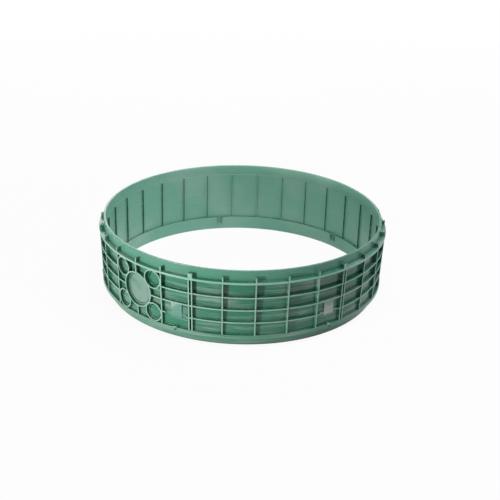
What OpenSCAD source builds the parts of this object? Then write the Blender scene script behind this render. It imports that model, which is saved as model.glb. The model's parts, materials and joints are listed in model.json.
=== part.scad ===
// Septic tank riser: one moulded ring that lifts an access opening to grade.
// Units are millimetres. +Z is up, the origin is the centre of the bottom edge,
// and the knock-out panel faces -Y. Rib 0 is the rib behind that panel; ribs are
// numbered anticlockwise seen from above.

/* [Body] */
// clear diameter through the base ring
clear_d = 610; // [450:5:900]
// height one riser adds to a stack, seat to seat
rise_h = 152.4; // [130:0.1:300]
// depth of the base ring that drops inside the riser below
spigot_h = 19.5; // [12:0.5:30]
// smooth neck above the top flange, which takes the next base ring
neck_h = 22.6; // [18:0.1:40]
// thickness of the neck and wall
wall_t = 4.5; // [3:0.1:7]
// thickness of the base ring
base_t = 5.6; // [4:0.1:9]
// slide clearance on radius between a base ring and the neck around it
slide_gap = 0.6; // [0.3:0.1:2]
// how much narrower the wall is inside than the neck above it
neck_step = 0.6; // [0.4:0.1:1.5]
// how far the base ring draws in at its lower edge, to lead it into a neck
lead_w = 1.2; // [0.8:0.1:2.5]
// height of that lead-in
lead_h = 4; // [2:0.5:8]

/* [Flanges and rings] */
// how far the top flange stands out from the wall
top_flange_w = 11; // [8:0.5:24]
// thickness of the top flange
top_flange_t = 4.6; // [3:0.1:8]
// how far the bottom flange stands out from the wall
bottom_flange_w = 6.4; // [5:0.1:7.5]
// height of the bottom flange
bottom_flange_h = 8; // [6:0.1:14]
// height of the inner ledge above the bottom flange
ledge_rise = 4.7; // [4.5:0.1:9]
// number of thin stiffening rings between the flanges
ring_count = 3; // [1:1:5]
// thickness of a stiffening ring or rib
rib_t = 2.8; // [2:0.1:4]
// how much taller the top row of cells is than the others
top_row_extra = 2; // [0:0.5:8]

/* [Ribs] */
// bays around the riser, one rib between each two
bay_count = 30; // [20:1:40]
// bays from one twin rib to the next
twin_every = 5; // [3:1:8]
// first twin rib, counted from rib 0
twin_first = 2; // [2:1:4]
// gap between the two plates of a twin rib
twin_gap = 4; // [3:0.1:8]
// height the ribs carry on above the top flange
nub_h = 10.2; // [5:0.1:16]
// pilot hole for a lid screw in the top of each twin rib
lid_pilot_d = 4.2; // [2.5:0.1:6]
// depth of that pilot hole
lid_pilot_h = 14; // [6:0.5:16]
// thickness of an inner rib
inner_rib_t = 2.2; // [1.5:0.1:4]

/* [Knock-outs] */
// bore of each small knock-out
small_knock_d = 38; // [25:0.1:44]
// wall of the tube around a knock-out
tube_t = 2.6; // [2:0.1:3.6]
// thickness left under the tear groove around a disc
tear_t = 1.4; // [0.8:0.1:2.5]
// width of the tear groove
tear_w = 1.8; // [1:0.1:3]

/* [Stacking screws] */
// screw hole in the bottom flange
screw_d = 5; // [3.5:0.1:7]
// wall of the collar around it
collar_t = 2.2; // [1.5:0.1:3]
// how far the collar stands above the flange
collar_up = 3; // [1:0.5:6]
// width of the raised pad above each screw
pad_w = 25; // [16:0.5:34]
// how far the pad stands out from the wall
pad_t = 2; // [1:0.1:4]
// gap between the pair of guide fins inside the base ring
fin_gap = 7.5; // [5:0.5:12]
// thickness of a guide fin
fin_t = 2.8; // [2:0.1:4]
// how far a guide fin stands in at the top
fin_w = 6; // [3:0.5:9]

/* [Hidden] */
$fn = 120;

base_r = clear_d / 2;                       // inside of the base ring
spigot_r = base_r + base_t;                 // outside of the base ring
neck_r = spigot_r + slide_gap;              // inside of the neck
inner_r = neck_r - neck_step;               // inside of the wall below it
wall_r = neck_r + wall_t;                   // outside of the wall and neck
top_r = wall_r + top_flange_w;              // edge of the top flange
bottom_r = wall_r + bottom_flange_w;        // edge of the bottom flange
set_in = 1.2;                               // ribs stop this far inside a flange or ledge edge
rib_r = top_r - set_in;                     // outer edge of the ribs at the top flange
foot_r = bottom_r - set_in;                 // outer edge of the ribs at the bottom flange
ring_in = 0.6;                              // rings stop this far inside the ribs
total_h = rise_h + spigot_h;
seat_z = spigot_h;                          // rests on the neck of the riser below
foot_z = seat_z + bottom_flange_h;          // top of the bottom flange
ledge_z = foot_z + ledge_rise;              // top of the inner ledge
shelf_z = total_h - neck_h;                 // top of the top flange
shelf_under = shelf_z - top_flange_t;
neck_floor = shelf_z - 1;                   // the neck's bore ends here, on a small step
nub_z = shelf_z + nub_h;
row_h = (shelf_under - foot_z - top_row_extra) / (ring_count + 1);
bay = 360 / bay_count;
bite = 1.5;                                 // overlap that joins a feature to the wall
edge = 0.7;                                 // small bevel on open edges
twins = [for (k = [twin_first : twin_every : bay_count - 1]) k];

small_r = small_knock_d / 2 + tube_t;       // outside of a small knock-out tube
panel_half = foot_r * sin(bay);             // rib 0 to the rib on either side
small_x = panel_half - small_r;             // small tubes run into those ribs
panel_low = foot_z - tube_t / 2;            // and sink half their wall into each flange
panel_high = shelf_under + tube_t / 2;
panel_z = (panel_low + panel_high) / 2;
small_z = (panel_high - panel_low) / 2 - small_r;
big_r = norm([small_x, small_z]) - small_r + tube_t;   // outside of the large tube
tear_land = ledge_rise - tube_t / 2 + 0.2;  // keeps each groove above the inner ledge
pad_z = foot_z + row_h * 0.65;              // bottom of a pad
pad_ramp = 8;                               // a pad rises from the wall over this height
pad_step = 0.8;                             // its upper part stands this much further out
ring_root = 0.8;                            // left of a ring where it is cut back to the wall
screw_x = wall_r + screw_d / 2 + 1;         // flange holes and pilots share this radius
collar_r = screw_d / 2 + collar_t;

function ring_z(i) = foot_z + row_h * i;    // middle of stiffening ring i
// outer edge of the ribs, which lean in from the top flange to the bottom one
function lean_r(z) = foot_r + (rib_r - foot_r) * (z - foot_z) / (shelf_under - foot_z);
function is_twin(k) = len([for (t = twins) if (t == k) 1]) > 0;

// children stand at rib k, with +X pointing outwards
module at_rib(k) rotate(k * bay - 90) children();

// a band between two radii
module band(r0, r1, z0, h)
    translate([0, 0, z0])
        rotate_extrude() translate([r0, 0]) square([r1 - r0, h]);

// neck, wall and base ring, with both flanges
module shell()
    rotate_extrude() polygon([
        [base_r + edge, 0], [spigot_r - lead_w, 0], [spigot_r, lead_h], [spigot_r, seat_z],
        [bottom_r - edge, seat_z], [bottom_r, seat_z + edge], [bottom_r, foot_z - edge],
        [bottom_r - edge, foot_z], [wall_r, foot_z], [wall_r, shelf_under],
        [top_r - edge, shelf_under], [top_r, shelf_under + edge], [top_r, shelf_z - edge],
        [top_r - edge, shelf_z], [wall_r, shelf_z], [wall_r, total_h - edge],
        [wall_r - edge, total_h], [neck_r + edge, total_h], [neck_r, total_h - edge],
        [neck_r, neck_floor], [inner_r, neck_floor], [inner_r, ledge_z], [base_r, ledge_z],
        [base_r, edge]]);

// each ring stays a little inside the edge of the ribs at its own height
module rings()
    for (i = [1 : ring_count])
        band(wall_r - bite, lean_r(ring_z(i)) - ring_in, ring_z(i) - rib_t / 2, rib_t);

// one upright plate, from the bottom flange to the top of its nub
module plate(y)
    translate([0, y + rib_t / 2, 0]) rotate([90, 0, 0])
        linear_extrude(rib_t)
            polygon([[wall_r - bite, foot_z - 1], [foot_r, foot_z - 1], [foot_r, foot_z],
                     [rib_r, shelf_under], [rib_r, nub_z], [wall_r - bite, nub_z]]);

// two plates joined above the top flange, where a lid screw bites
module twin() {
    step = (twin_gap + rib_t) / 2;
    for (s = [-1, 1]) plate(s * step);
    translate([wall_r - bite, -step, shelf_under])
        cube([rib_r - wall_r + bite, 2 * step, nub_z - shelf_under]);
}

module ribs()
    for (k = [0 : bay_count - 1])
        at_rib(k) if (is_twin(k)) twin(); else plate(0);

module inner_ribs()
    for (k = [0 : bay_count - 1])
        at_rib(k) translate([base_r + set_in, -inner_rib_t / 2, ledge_z - 1])
            cube([inner_r - base_r, inner_rib_t, neck_floor - ledge_z - 0.5]);

// children at the five knock-outs, with +Z pointing outwards; r is the tube's outside
module at_knocks() {
    at_rib(0) translate([0, 0, panel_z]) rotate([0, 90, 0]) { $r = big_r; children(); }
    for (y = [-small_x, small_x], z = [-small_z, small_z])
        at_rib(0) translate([0, y, panel_z + z]) rotate([0, 90, 0]) {
            $r = small_r;
            children();
        }
}

module knock_bores()
    at_knocks() translate([0, 0, wall_r * 0.8]) cylinder(h = wall_r, r = $r - tube_t, $fn = 48);

module knock_tubes()
    intersection() {
        rotate_extrude() polygon([
            [wall_r - bite, foot_z - 1], [lean_r(foot_z - 1) - 0.2, foot_z - 1],
            [lean_r(shelf_z - 1) - 0.2, shelf_z - 1], [wall_r - bite, shelf_z - 1]]);
        difference() {
            at_knocks() translate([0, 0, wall_r * 0.8]) cylinder(h = wall_r * 0.4, r = $r, $fn = 48);
            knock_bores();
        }
    }

// shallow ring cut that lets a disc be struck out
module tear_grooves()
    intersection() {
        band(inner_r + tear_t, wall_r + 1, ledge_z, shelf_under - ledge_z);
        at_knocks() translate([0, 0, wall_r * 0.8]) difference() {
            cylinder(h = wall_r * 0.4, r = $r - tube_t - tear_land, $fn = 48);
            translate([0, 0, -1])
                cylinder(h = wall_r, r = $r - tube_t - tear_land - tear_w, $fn = 48);
        }
    }

// children at the middle of the bay before each twin rib
module at_screws() for (k = twins) at_rib(k - 0.5) children();

// the lowest ring is cut back, with slanting ends, so a driver can lean in to the screw
module driver_cuts() {
    near = wall_r + ring_root;
    far_half = wall_r * tan(bay / 2) - rib_t / 2 - 1;
    near_half = (pad_w / 2 + far_half) / 2;
    at_screws() translate([0, 0, ring_z(1) - rib_t])
        linear_extrude(2 * rib_t)
            polygon([[near, -near_half], [rib_r, -far_half], [rib_r, far_half],
                     [near, near_half]]);
}

// flat pad with a crease above the cut ring
module pads() {
    face = wall_r + pad_t;
    crease_z = ring_z(1) + 2 * rib_t;
    at_screws() translate([0, pad_w / 2, 0]) rotate([90, 0, 0])
        linear_extrude(pad_w)
            polygon([[wall_r - bite, pad_z], [wall_r, pad_z],
                     [face - pad_step, pad_z + pad_ramp], [face - pad_step, crease_z],
                     [face, crease_z], [face, ring_z(2)], [wall_r - bite, ring_z(2)]]);
}

module collars()
    at_screws() translate([screw_x, 0, seat_z + 1])
        cylinder(h = bottom_flange_h - 1 + collar_up, r = collar_r, $fn = 32);

// hole down through the flange, open to the front under a bridge as thick as the collar
module screw_holes()
    at_screws() translate([screw_x, 0, seat_z - 1]) {
        cylinder(h = bottom_flange_h + collar_up + 2, d = screw_d, $fn = 32);
        translate([0, -screw_d / 2, 0])
            cube([collar_r + 2, screw_d, bottom_flange_h + 1 - collar_t]);
    }

// the pilots end inside the block between the plates of a twin rib
module lid_pilots() {
    deep = min(lid_pilot_h, nub_h + top_flange_t - 0.8);
    for (k = twins) at_rib(k) translate([screw_x, 0, nub_z - deep])
        cylinder(h = deep + 1, d = lid_pilot_d, $fn = 24);
}

// children at the middle between two twin ribs
module at_guides() for (k = twins) at_rib(k + twin_every / 2) children();

// pair of tapered fins under the inner ledge
module guide_fins()
    at_guides() for (s = [-1, 1])
        translate([0, s * (fin_gap + fin_t) / 2 + fin_t / 2, 0]) rotate([90, 0, 0])
            linear_extrude(fin_t)
                polygon([[base_r + bite, ledge_z - 1], [base_r - fin_w, ledge_z - 1],
                         [base_r - fin_w, ledge_z - 2.5], [base_r + bite, seat_z * 0.25]]);

// screw hole down through the ledge, opening between the fins
module guide_holes()
    at_guides() translate([base_r + 0.6, 0, ledge_z - 15])
        cylinder(h = 16, d = screw_d, $fn = 32);

module riser()
    color([0.25, 0.5, 0.4])
        difference() {
            union() {
                shell();
                difference() {
                    union() {
                        rings();
                        ribs();
                    }
                    knock_bores();
                    driver_cuts();
                }
                knock_tubes();
                inner_ribs();
                pads();
                collars();
                guide_fins();
            }
            tear_grooves();
            screw_holes();
            lid_pilots();
            guide_holes();
        }

riser();
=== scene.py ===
import json
import math

import bpy
from mathutils import Matrix, Vector

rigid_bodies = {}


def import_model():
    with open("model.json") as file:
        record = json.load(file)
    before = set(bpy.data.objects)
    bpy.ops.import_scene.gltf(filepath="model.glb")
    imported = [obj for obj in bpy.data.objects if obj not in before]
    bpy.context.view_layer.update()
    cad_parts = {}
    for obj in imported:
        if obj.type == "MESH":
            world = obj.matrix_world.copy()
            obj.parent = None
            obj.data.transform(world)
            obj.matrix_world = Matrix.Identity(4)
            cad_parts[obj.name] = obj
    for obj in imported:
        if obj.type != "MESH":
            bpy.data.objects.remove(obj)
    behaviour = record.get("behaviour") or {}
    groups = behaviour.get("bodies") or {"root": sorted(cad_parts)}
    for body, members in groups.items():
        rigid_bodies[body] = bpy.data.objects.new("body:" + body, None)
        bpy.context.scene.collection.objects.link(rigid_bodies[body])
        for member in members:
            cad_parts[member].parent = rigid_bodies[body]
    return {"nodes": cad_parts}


# Septic tank riser, one green plastic moulding, on a plain white floor. Metres, +Z up.

for leftOver in list(bpy.data.objects):
    bpy.data.objects.remove(leftOver)

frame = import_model()
bpy.context.view_layer.update()
riser = frame["nodes"]["riser"]
print("stage: frame loaded")


def hexToLinear(hexText):  # sRGB hex to linear RGBA
    parts = [int(hexText[i:i + 2], 16) / 255 for i in (1, 3, 5)]
    return tuple(c / 12.92 if c <= 0.04045 else ((c + 0.055) / 1.055) ** 2.4 for c in parts) + (1.0,)


def addNode(tree, kind, settings=None, inputs=None):  # an input is a value, or another node's socket
    node = tree.nodes.new(kind)
    for name, value in (settings or {}).items():
        setattr(node, name, value)
    for name, value in (inputs or {}).items():
        if isinstance(value, bpy.types.NodeSocket):
            tree.links.new(value, node.inputs[name])
        else:
            node.inputs[name].default_value = value
    return node


def freshMaterial(name):
    material = bpy.data.materials.new(name)
    material.use_nodes = True
    material.node_tree.nodes.clear()
    return material


# Moulded plastic, taken as polypropylene: an even blue-green, glossy on the outer cells and duller
# inside and on the matt pads. Painted light is laid on it: pale streaks round the ring, partly flow
# marks and partly painted reflection; a paler inside that is painted light, with blotches of painted
# sheen; pads and the large disc paled with painted sheen, the disc also with scuff marks; pale rib and
# ring fronts and edges, partly wear and partly painted highlight; and painted shade in tight corners.
plastic = {
    "green": "#28745a",
    "flowAndReflectionGreen": "#93a39b",        # paler, greyer streaks: flow marks where the melt swirled, and painted reflection
    # painted light: the inside is painted paler to stand in for the light it gets
    "insidePaintedLightGreen": "#80bda6",
    "insideSheenPale": "#b3d0c2",       # painted sheen, in pale blotches on the inside
    "neckGreen": "#4c8974",
    "padSheenGreen": "#54867a",         # matt pads, paled with painted sheen
    "padSheenPale": "#b4c4bc",          # pads where a pale blotch of painted sheen falls
    "discScuffAndSheen": "#6c8b82",         # scuff marks and painted sheen on the large knock-out disc
    "bandGreen": "#7b9f92",        # bottom flange and base ring, greyer and paler
    "wearAndHighlightGreen": "#8bb8a8",      # the fronts of the ribs and rings and every edge: partly wear, partly painted highlight
    "paintedCornerShade": "#174033",      # painted shade in tight corners and beside the ribs
    # how strongly each tone covers the one under it, from 0 to 1
    "streakReflectionCover": 0.7,
    "insideSheenCover": 0.45,
    "insidePaintedLightCover": 0.9,
    "bandCover": 0.3,
    "ribCover": 0.8,
    "edgeCover": 0.5,
    "cornerShadeCover": 0.8,
    # pattern values between which a tone fades in
    "streakFade": (0.45, 0.7),
    "insideSheenFade": (0.5, 0.64),
    "padSheenFade": (0.44, 0.56),
    "scuffAndSheenFade": (0.3, 0.6),
    "glossFade": (0.3, 0.7),
    "edgeFade": (1.0, 0.8),        # agreement between the flat face and its rounded edge
    "cornerShadeFade": (0.8, 0.35),     # openness of the corner
    "inwardFade": (-0.3, -0.7),    # how squarely a face looks at the ring's axis
    "outwardFade": (0.5, 0.8),
    "streakMm": 130,               # length of a streak, in the bump and in the painted reflection
    "streakFlatness": 16,          # how many times longer than tall
    "streakDepthMm": 0.5,
    "blotchMm": 160,               # size of the patches that set the inside's painted sheen, the pads' painted sheen and the gloss
    "scuffAndSheenMm": 34,                 # size of the scuff marks and painted sheen on the large disc
    "patternShift": (0, 0.3, 0),   # metres; moves streaks and blotches round the ring
    "peelMm": 1.6,                 # skin ripple, coarse enough to show
    "peelDepthMm": 0.03,
    "edgeMm": 1.3,                 # rounding that the mould leaves on every edge
    "cornerMm": 12,                # how near another face must be to make a corner that gets painted shade
    "glossyRoughness": (0.22, 0.32),  # glossiest and dullest blotch
    "insideRoughness": 0.34,
    "mattRoughness": 0.55,
    # where the surfaces lie, from the riser's own sizes
    "wallRadiusMm": 315.7,         # outside of the wall and neck
    "ribRadiusMm": 319.5,          # everything from here outwards is a rib, ring or flange
    "neckFromMm": 149.6,           # height above which the outside is neck
    "footMm": 27.5,                # top of the bottom flange; below it the band tone goes on and the rib fronts get no wear and painted highlight
    "discHeightMm": 86.1,          # middle of the large knock-out
    "discRadiusMm": 36.5,
    "discDepthShare": 0.6,         # the disc's mask reaches further in depth than across
}


def ramp(tree, value, low, high):  # 0 at low, 1 at high, level beyond
    return addNode(tree, "ShaderNodeMapRange", inputs={
        "Value": value, "From Min": low, "From Max": high,
        "To Min": 0.0, "To Max": 1.0}).outputs["Result"]


def times(tree, first, second):
    return addNode(tree, "ShaderNodeMath", {"operation": "MULTIPLY"}, {
        0: first, 1: second}).outputs["Value"]


def blend(tree, amount, under, over):  # under and over are colours or sockets
    return addNode(tree, "ShaderNodeMix", {"data_type": "RGBA"}, {
        0: amount, 6: under, 7: over}).outputs[2]


def vectorNode(tree, operation, first, second=None):
    sockets = {0: first} if second is None else {0: first, 1: second}
    return addNode(tree, "ShaderNodeVectorMath", {"operation": operation}, sockets).outputs


def measure(tree, operation, first, second=None):  # one number from a vector
    return vectorNode(tree, operation, first, second)["Value"]


def shape(tree, operation, first, second=None):  # one vector from a vector
    return vectorNode(tree, operation, first, second)["Vector"]


def noise(tree, place, sizeMm, detail, **more):
    inputs = {"Vector": place, "Scale": 1000 / sizeMm, "Detail": detail}
    return addNode(tree, "ShaderNodeTexNoise", inputs={**inputs, **more}).outputs["Fac"]


def bump(tree, height, strength, depth, normal):
    return addNode(tree, "ShaderNodeBump", inputs={
        "Height": height, "Strength": strength, "Distance": depth, "Normal": normal}).outputs["Normal"]


def mouldedPolypropylene(look):
    material = freshMaterial("mouldedPolypropylene")
    tree = material.node_tree
    place = addNode(tree, "ShaderNodeTexCoord").outputs["Object"]
    normal = addNode(tree, "ShaderNodeNewGeometry").outputs["Normal"]
    soft = 0.4  # millimetres over which the pad and rib masks fade

    def metres(name, more=0):  # a size in millimetres, plus a little, in metres
        return (look[name] + more) * 0.001

    def tone(name):
        return hexToLinear(look[name])

    def within(name, value, low, high):  # 0 to 1 as value goes between two offsets from a size
        return ramp(tree, value, metres(name, low), metres(name, high))

    # where on the ring a point lies, and which way it faces
    spoke = shape(tree, "MULTIPLY", place, (1, 1, 0))
    radius = measure(tree, "LENGTH", spoke)
    height = addNode(tree, "ShaderNodeSeparateXYZ", inputs={"Vector": place}).outputs["Z"]
    outward = measure(tree, "DOT_PRODUCT", shape(tree, "NORMALIZE", spoke), normal)
    facesIn = ramp(tree, outward, *look["inwardFade"])
    facesOut = ramp(tree, outward, *look["outwardFade"])
    onNeck = times(tree, facesOut, within("neckFromMm", height, 0, 1))
    onBand = times(tree, facesOut, within("footMm", height, -0.5, -1.5))
    onPad = times(tree, facesOut, within("wallRadiusMm", radius, soft, 0.9))
    onPad = times(tree, onPad, within("ribRadiusMm", radius, soft, 0))
    onRib = times(tree, facesOut, within("ribRadiusMm", radius, 0, soft))
    onRib = times(tree, onRib, within("footMm", height, 0, 1))
    discMiddle = (0, -metres("wallRadiusMm"), metres("discHeightMm"))
    fromDisc = measure(tree, "LENGTH", shape(
        tree, "MULTIPLY", shape(tree, "SUBTRACT", place, discMiddle), (1, look["discDepthShare"], 1)))
    onDisc = times(tree, facesOut, within("discRadiusMm", fromDisc, 0, -1))

    moved = shape(tree, "ADD", place, look["patternShift"])
    flat = shape(tree, "MULTIPLY", moved, (1, 1, look["streakFlatness"]))
    streaks = noise(tree, flat, look["streakMm"], 4.0, Roughness=0.6, Distortion=0.3)
    blotches = noise(tree, moved, look["blotchMm"], 2.0)
    scuffAndSheenPattern = noise(tree, place, look["scuffAndSheenMm"], 4.0, Distortion=0.3)
    peel = noise(tree, place, look["peelMm"], 2.0)

    rounded = addNode(tree, "ShaderNodeBevel", {"samples": 6}, {
        "Radius": metres("edgeMm")}).outputs["Normal"]
    openness = addNode(tree, "ShaderNodeAmbientOcclusion", {"samples": 6}, {
        "Distance": metres("cornerMm")}).outputs["AO"]
    sameAsFlat = measure(tree, "DOT_PRODUCT", rounded, normal)

    # pale streaks: partly flow marks, partly painted reflection
    streakReflectionAmount = times(tree, ramp(tree, streaks, *look["streakFade"]), look["streakReflectionCover"])
    # painted shade: darker where ambient occlusion finds another face near
    cornerShadeAmount = times(tree, ramp(tree, openness, *look["cornerShadeFade"]), look["cornerShadeCover"])
    # painted highlight, partly wear, along rounded edges
    edgeWearAndHighlight = times(tree, ramp(tree, sameAsFlat, *look["edgeFade"]), look["edgeCover"])
    # painted sheen: pale blotches on the inside
    insideSheenAmount = times(tree, ramp(tree, blotches, *look["insideSheenFade"]), look["insideSheenCover"])
    # the inside tone is painted light, with blotches of painted sheen
    insideLightAndSheen = blend(tree, insideSheenAmount, tone("insidePaintedLightGreen"), tone("insideSheenPale"))
    # painted sheen: the pads are paler and greyer, in blotches
    padSheenColour = blend(tree, ramp(tree, blotches, *look["padSheenFade"]), tone("padSheenGreen"), tone("padSheenPale"))
    # scuff marks and painted sheen on the large disc
    scuffAndSheenAmount = times(tree, onDisc, ramp(tree, scuffAndSheenPattern, *look["scuffAndSheenFade"]))

    colour = blend(tree, streakReflectionAmount, tone("green"), tone("flowAndReflectionGreen"))
    # Each tone covers the last: painted shade in corners, the painted-light inside, the neck, the pads'
    # painted sheen, the disc's scuff marks and painted sheen, the band, then wear and painted highlight
    # on rib fronts and edges.
    for amount, over in (
            (cornerShadeAmount, tone("paintedCornerShade")),
            (times(tree, facesIn, look["insidePaintedLightCover"]), insideLightAndSheen),
            (onNeck, tone("neckGreen")),
            (onPad, padSheenColour),
            (scuffAndSheenAmount, tone("discScuffAndSheen")),
            (times(tree, onBand, look["bandCover"]), tone("bandGreen")),
            (times(tree, onRib, look["ribCover"]), tone("wearAndHighlightGreen")),
            (edgeWearAndHighlight, tone("wearAndHighlightGreen"))):
        colour = blend(tree, amount, colour, over)

    fromBlotch, toBlotch = look["glossFade"]
    lowRough, highRough = look["glossyRoughness"]
    roughness = addNode(tree, "ShaderNodeMapRange", inputs={
        "Value": blotches, "From Min": fromBlotch, "From Max": toBlotch,
        "To Min": lowRough, "To Max": highRough}).outputs["Result"]
    for amount, level in (
            (facesIn, "insideRoughness"),
            (onPad, "mattRoughness"),
            (onDisc, "mattRoughness")):
        roughness = addNode(tree, "ShaderNodeMix", {"data_type": "FLOAT"}, {
            0: amount, 2: roughness, 3: look[level]}).outputs[0]

    skin = bump(tree, peel, 0.5, metres("peelDepthMm"), rounded)
    skin = bump(tree, streaks, 1.0, metres("streakDepthMm"), skin)
    shader = addNode(tree, "ShaderNodeBsdfPrincipled", inputs={
        "Base Color": colour, "Roughness": roughness, "IOR": 1.49,
        "Specular IOR Level": 0.45, "Normal": skin})
    addNode(tree, "ShaderNodeOutputMaterial", inputs={"Surface": shader.outputs["BSDF"]})
    return material


greenPlastic = mouldedPolypropylene(plastic)
for materialSlot in riser.material_slots:
    materialSlot.material = greenPlastic
print("stage: riser finished in moulded polypropylene")


studio = {
    "floorHalf": 15.0,
    "floorColour": "#d2d2d2",
    "floorGlow": (0.94, 1.0),     # how much plain white the camera sees on the floor, near and far
    "glowFrom": (0.5, 3.0),       # metres from the middle where near ends and far starts
    "worldColour": "#f4f6f6",
    "worldStrength": 0.1,
    "aim": (0, 0, 0.09),
}
# azimuth 0 is in front of the knock-out panel (-Y), 90 is at +X
lamps = {  # degrees, metres and watts
    "keySoftbox": {
        "azimuth": -6, "elevation": 1, "distance": 2.6, "size": 0.24, "watts": 60, "colour": "#fffaf3"},
    "fillSoftbox": {
        "azimuth": 48, "elevation": 72, "distance": 2.8, "size": 1.4, "watts": 46, "colour": "#ffffff"},
    "sideSoftbox": {
        "azimuth": 138, "elevation": 60, "distance": 2.6, "size": 1.1, "watts": 26, "colour": "#f2f7ff"},
    "backSoftbox": {
        "azimuth": 233, "elevation": 30, "distance": 2.6, "size": 1.4, "watts": 16, "colour": "#ffffff"},
}


def seenDirectly(tree):  # 1 for camera, glossy and transmission rays
    path = addNode(tree, "ShaderNodeLightPath").outputs
    either = addNode(tree, "ShaderNodeMath", {"operation": "MAXIMUM"}, {
        0: path["Is Camera Ray"], 1: path["Is Glossy Ray"]}).outputs["Value"]
    return addNode(tree, "ShaderNodeMath", {"operation": "MAXIMUM"}, {
        0: either, 1: path["Is Transmission Ray"]}).outputs["Value"]


def paintedFloor(look):  # matt white paint: shows as white, and keeps a trace of the riser's shadow
    material = freshMaterial("mattWhitePaint")
    tree = material.node_tree
    away = measure(tree, "LENGTH", addNode(tree, "ShaderNodeTexCoord").outputs["Object"])
    nearGlow, farGlow = look["floorGlow"]
    nearEnd, farStart = look["glowFrom"]
    share = addNode(tree, "ShaderNodeMapRange", inputs={
        "Value": away, "From Min": nearEnd, "From Max": farStart,
        "To Min": nearGlow, "To Max": farGlow}).outputs["Result"]
    glow = times(tree, seenDirectly(tree), share)
    paint = addNode(tree, "ShaderNodeBsdfDiffuse", inputs={"Color": hexToLinear(look["floorColour"])})
    white = addNode(tree, "ShaderNodeEmission", inputs={"Color": (1, 1, 1, 1), "Strength": 1.0})
    mixed = addNode(tree, "ShaderNodeMixShader", inputs={
        0: glow, 1: paint.outputs["BSDF"], 2: white.outputs["Emission"]})
    addNode(tree, "ShaderNodeOutputMaterial", inputs={"Surface": mixed.outputs["Shader"]})
    return material


def buildFloor(look):
    half = look["floorHalf"]
    mesh = bpy.data.meshes.new("studioFloor")
    corners = [(-half, -half, 0), (half, -half, 0), (half, half, 0), (-half, half, 0)]
    mesh.from_pydata(corners, [], [(0, 1, 2, 3)])
    floor = bpy.data.objects.new("studioFloor", mesh)
    floor.data.materials.append(paintedFloor(look))
    bpy.context.scene.collection.objects.link(floor)


def buildWorld(look):
    world = bpy.data.worlds.new("studioWorld")
    world.use_nodes = True
    tree = world.node_tree
    tree.nodes.clear()
    soft = addNode(tree, "ShaderNodeBackground", inputs={
        "Color": hexToLinear(look["worldColour"]), "Strength": look["worldStrength"]})
    white = addNode(tree, "ShaderNodeBackground", inputs={"Color": (1, 1, 1, 1), "Strength": 1.0})
    mixed = addNode(tree, "ShaderNodeMixShader", inputs={
        0: seenDirectly(tree), 1: soft.outputs["Background"], 2: white.outputs["Background"]})
    addNode(tree, "ShaderNodeOutputWorld", inputs={"Surface": mixed.outputs["Shader"]})
    bpy.context.scene.world = world


def hangLamp(name, look, aim):
    turn, rise = math.radians(look["azimuth"]), math.radians(look["elevation"])
    away = Vector((math.sin(turn) * math.cos(rise), -math.cos(turn) * math.cos(rise), math.sin(rise)))
    data = bpy.data.lights.new(name, "AREA")
    data.shape = "DISK"
    data.size = look["size"]
    data.energy = look["watts"]
    data.color = hexToLinear(look["colour"])[:3]
    lamp = bpy.data.objects.new(name, data)
    lamp.location = Vector(aim) + away * look["distance"]
    lamp.rotation_euler = away.to_track_quat("Z", "Y").to_euler()
    bpy.context.scene.collection.objects.link(lamp)


buildFloor(studio)
buildWorld(studio)
for lampName, lampLook in lamps.items():
    hangLamp(lampName, lampLook, studio["aim"])
print("stage: studio lit")


viewpoint = {
    "place": (1.3972, -1.5195, 1.0117),
    "heading": 42.09,             # turn about +Z from looking along +Y
    "down": 24.41,                # tilt below level
    "roll": 1.667,
    "lens": 70.08,
    "sensor": 36.0,
}


def buildCamera(look):
    data = bpy.data.cameras.new("studioCamera")
    data.lens = look["lens"]
    data.sensor_width = look["sensor"]
    data.clip_start, data.clip_end = 0.05, 60
    camera = bpy.data.objects.new("studioCamera", data)
    camera.matrix_world = (Matrix.Translation(look["place"])
                           @ Matrix.Rotation(math.radians(look["heading"]), 4, "Z")
                           @ Matrix.Rotation(math.radians(90 - look["down"]), 4, "X")
                           @ Matrix.Rotation(math.radians(look["roll"]), 4, "Z"))
    bpy.context.scene.collection.objects.link(camera)
    bpy.context.scene.camera = camera


buildCamera(viewpoint)
bpy.context.scene.view_settings.view_transform = "Standard"
print("stage: camera set")

bpy.context.view_layer.update()
